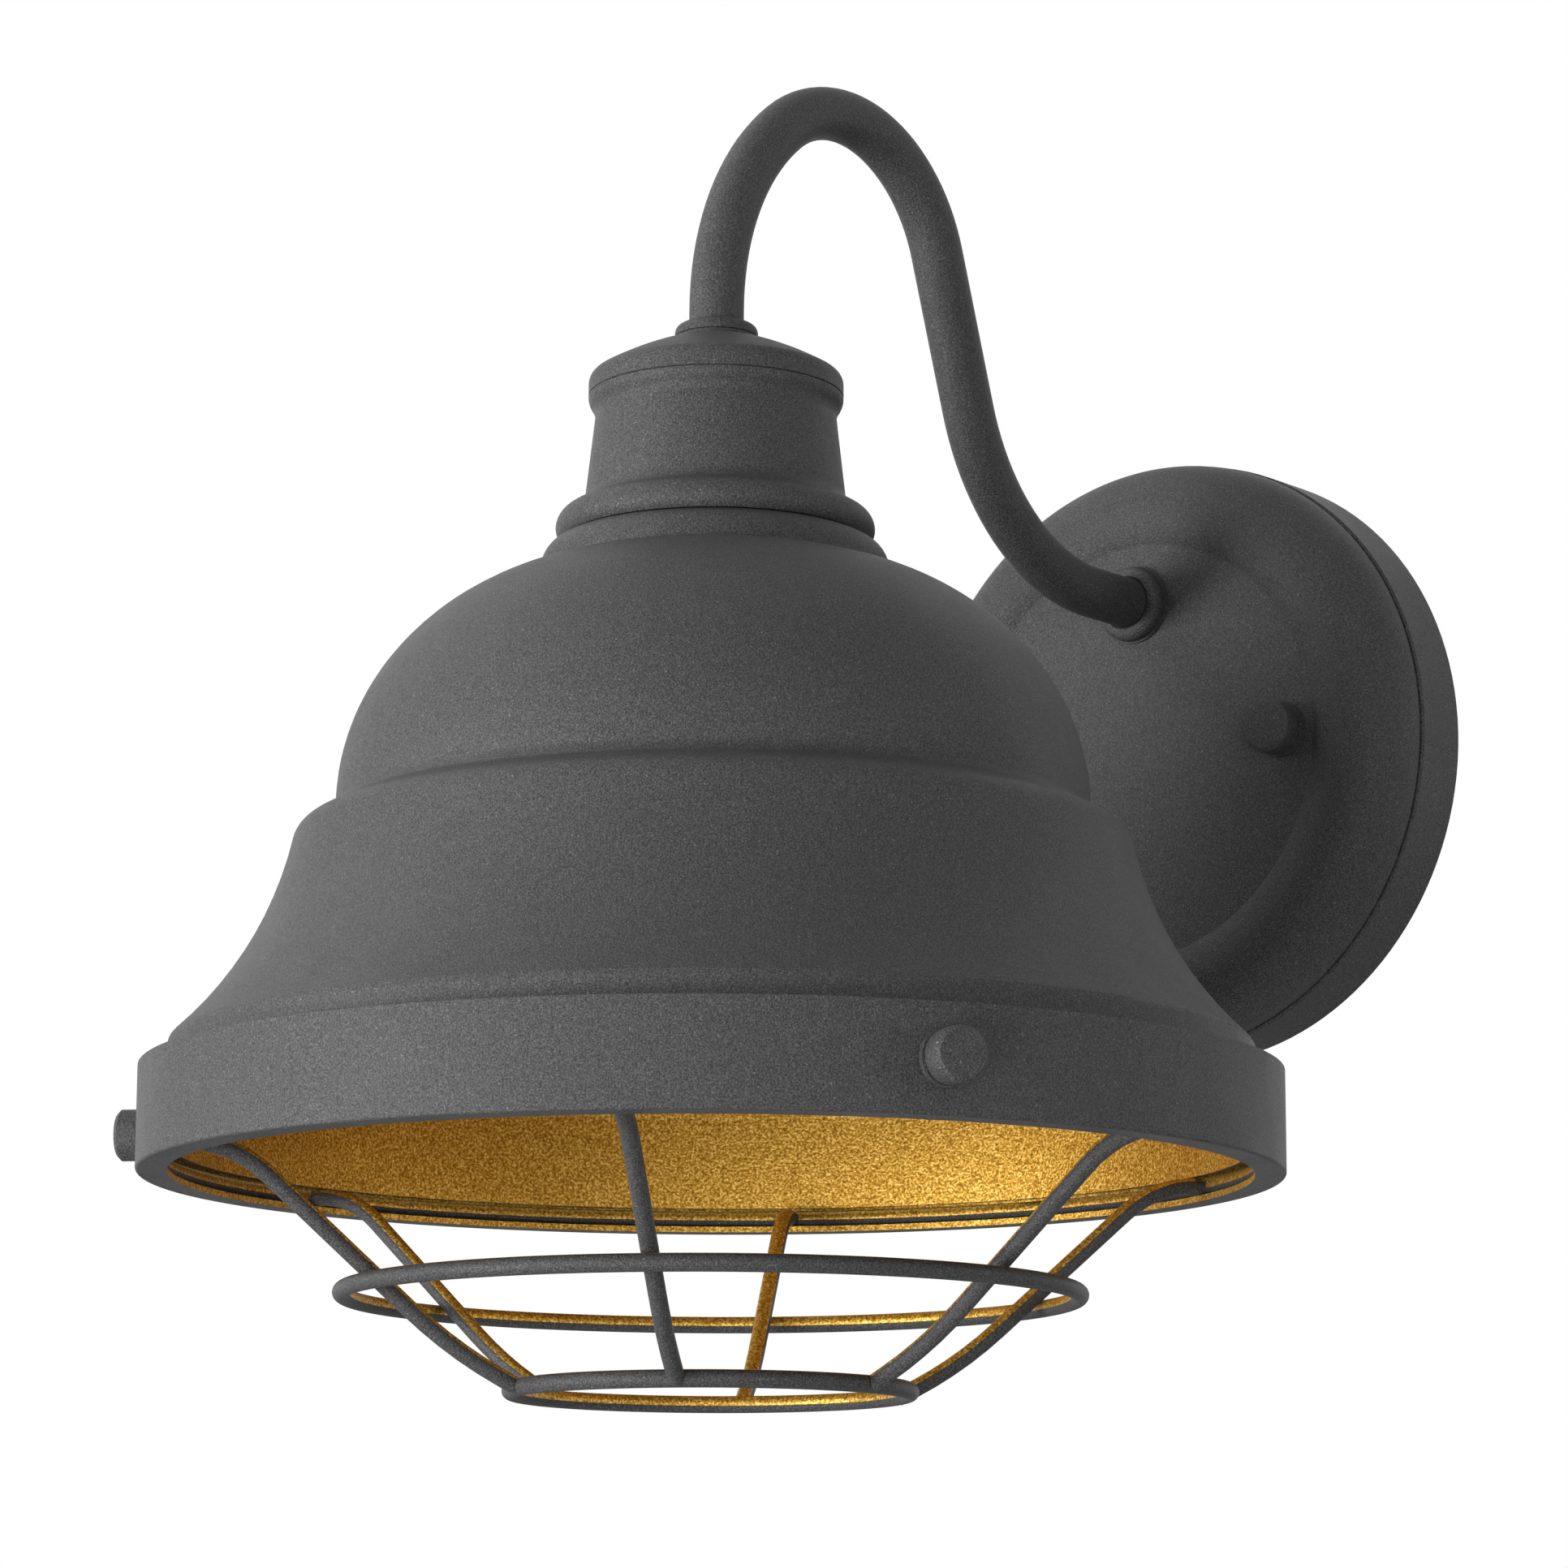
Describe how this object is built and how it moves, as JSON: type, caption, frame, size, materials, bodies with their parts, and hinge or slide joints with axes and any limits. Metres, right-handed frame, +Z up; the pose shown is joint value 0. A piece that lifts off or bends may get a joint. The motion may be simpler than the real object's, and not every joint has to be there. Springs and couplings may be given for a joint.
{
  "type": "outdoor wall sconce",
  "caption": "Gooseneck outdoor wall light with a round back plate, a stepped dome shade and a wire bulb guard held by a thumb-screwed band.",
  "frame": {"origin": "centre of the wall plate on the wall plane, midway between the strap's two slots", "axes": "+X to the right when facing the wall, +Y into the wall, +Z up; the head hangs on the -Y side"},
  "size_m": [0.202, 0.2552, 0.2493],
  "materials": {
    "black_powder_coat": "fine textured powder coat, metallic gold on the shade's inside and the guard's inner side",
    "zinc_plated_steel": "zinc plated",
    "green_screw": "green dyed zinc",
    "foam_seal": "closed-cell foam",
    "rubber_seal": "matte",
    "lead_black": "matte",
    "lead_white": "matte",
    "connector_orange": "satin",
    "porcelain": "glazed",
    "socket_brass": "plain",
    "bulb_button": "soldered",
    "bulb_shell": "rolled",
    "frosted_glass": "frosted"
  },
  "bodies": {
    "fixture": {"wall_plate": "black_powder_coat", "wall_gasket": "foam_seal", "mounting_strap": "zinc_plated_steel", "strap_studs": "zinc_plated_steel", "stud_jam_nuts": "zinc_plated_steel", "ground_screw": "green_screw", "arm_tube": "black_powder_coat", "arm_base_collar": "black_powder_coat", "arm_rear_washer": "zinc_plated_steel", "arm_rear_nut": "zinc_plated_steel", "neck_collar": "black_powder_coat", "socket_cap": "black_powder_coat", "arm_front_washer": "zinc_plated_steel", "arm_front_nut": "zinc_plated_steel", "lead_live": "lead_black", "lead_neutral": "lead_white", "wire_connectors": "connector_orange", "lampholder_body": "porcelain", "lampholder_shell": "socket_brass", "lampholder_contact": "socket_brass", "cap_gasket": "rubber_seal", "shade": "black_powder_coat", "shade_ring": "zinc_plated_steel"},
    "guard": {"retaining_band": "black_powder_coat", "band_bosses": "black_powder_coat", "cage_top_ring": "black_powder_coat", "cage_middle_ring": "black_powder_coat", "cage_bottom_ring": "black_powder_coat", "cage_ribs": "black_powder_coat"},
    "bulb_end": {"bulb_contact": "bulb_button"},
    "bulb": {"bulb_base": "bulb_shell", "bulb_glass": "frosted_glass"},
    "thumb_washer_right": {"thumb_washer_right": "black_powder_coat"},
    "thumb_screw_right": {"thumb_screw_right": "black_powder_coat"},
    "thumb_washer_left": {"thumb_washer_left": "black_powder_coat"},
    "thumb_screw_left": {"thumb_screw_left": "black_powder_coat"},
    "thumb_washer_back": {"thumb_washer_back": "black_powder_coat"},
    "thumb_screw_back": {"thumb_screw_back": "black_powder_coat"},
    "cap_nut_washer_right": {"cap_nut_washer_right": "black_powder_coat"},
    "cap_nut_right": {"cap_nut_right": "black_powder_coat"},
    "cap_nut_washer_left": {"cap_nut_washer_left": "black_powder_coat"},
    "cap_nut_left": {"cap_nut_left": "black_powder_coat"}
  },
  "joints": [
    {"name": "guard_drop", "type": "slide", "parent": "fixture", "child": "guard", "axis": [0, 0, -1], "range_m": [0, 0.06]},
    {"name": "thumb_right_draw", "type": "slide", "parent": "guard", "child": "thumb_washer_right", "axis": [0.8829, -0.4695, 0], "range_m": [0, 0.0035]},
    {"name": "thumb_right_turn", "type": "hinge", "parent": "thumb_washer_right", "child": "thumb_screw_right", "pos_m": [0.08918, -0.20162, -0.08793], "axis": [0.8829, -0.4695, 0], "range_deg": [0, 1801]},
    {"name": "thumb_left_draw", "type": "slide", "parent": "guard", "child": "thumb_washer_left", "axis": [-0.848, -0.5299, 0], "range_m": [0, 0.0035]},
    {"name": "thumb_left_turn", "type": "hinge", "parent": "thumb_washer_left", "child": "thumb_screw_left", "pos_m": [-0.08565, -0.20772, -0.08793], "axis": [-0.848, -0.5299, 0], "range_deg": [0, 1801]},
    {"name": "thumb_back_draw", "type": "slide", "parent": "guard", "child": "thumb_washer_back", "axis": [-0.0349, 0.9994, 0], "range_m": [0, 0.0035]},
    {"name": "thumb_back_turn", "type": "hinge", "parent": "thumb_washer_back", "child": "thumb_screw_back", "pos_m": [-0.00352, -0.05326, -0.08793], "axis": [-0.0349, 0.9994, 0], "range_deg": [0, 1801]},
    {"name": "cap_nut_right_draw", "type": "slide", "parent": "fixture", "child": "cap_nut_washer_right", "axis": [0, -1, 0], "range_m": [0, 0.00318]},
    {"name": "cap_nut_right_turn", "type": "hinge", "parent": "cap_nut_washer_right", "child": "cap_nut_right", "pos_m": [0.035, -0.0265, 0], "axis": [0, -1, 0], "range_deg": [0, 1441]},
    {"name": "cap_nut_left_draw", "type": "slide", "parent": "fixture", "child": "cap_nut_washer_left", "axis": [0, -1, 0], "range_m": [0, 0.00318]},
    {"name": "cap_nut_left_turn", "type": "hinge", "parent": "cap_nut_washer_left", "child": "cap_nut_left", "pos_m": [-0.035, -0.0265, 0], "axis": [0, -1, 0], "range_deg": [0, 1441]},
    {"name": "bulb_draw", "type": "slide", "parent": "fixture", "child": "bulb_end", "axis": [0, 0, -1], "range_m": [0, 0.0147]},
    {"name": "bulb_turn", "type": "hinge", "parent": "bulb_end", "child": "bulb", "pos_m": [0, -0.1542, 0], "axis": [0, 0, -1], "range_deg": [0, 1440]}
  ],
  "couplings": [
    {"joint": "thumb_right_turn", "follows": "thumb_right_draw", "rad_per_m": 8976},
    {"joint": "thumb_left_turn", "follows": "thumb_left_draw", "rad_per_m": 8976},
    {"joint": "thumb_back_turn", "follows": "thumb_back_draw", "rad_per_m": 8976},
    {"joint": "cap_nut_right_turn", "follows": "cap_nut_right_draw", "rad_per_m": 7913.3},
    {"joint": "cap_nut_left_turn", "follows": "cap_nut_left_draw", "rad_per_m": 7913.3},
    {"joint": "bulb_draw", "follows": "bulb_turn", "m_per_rad": 0.00057757}
  ]
}
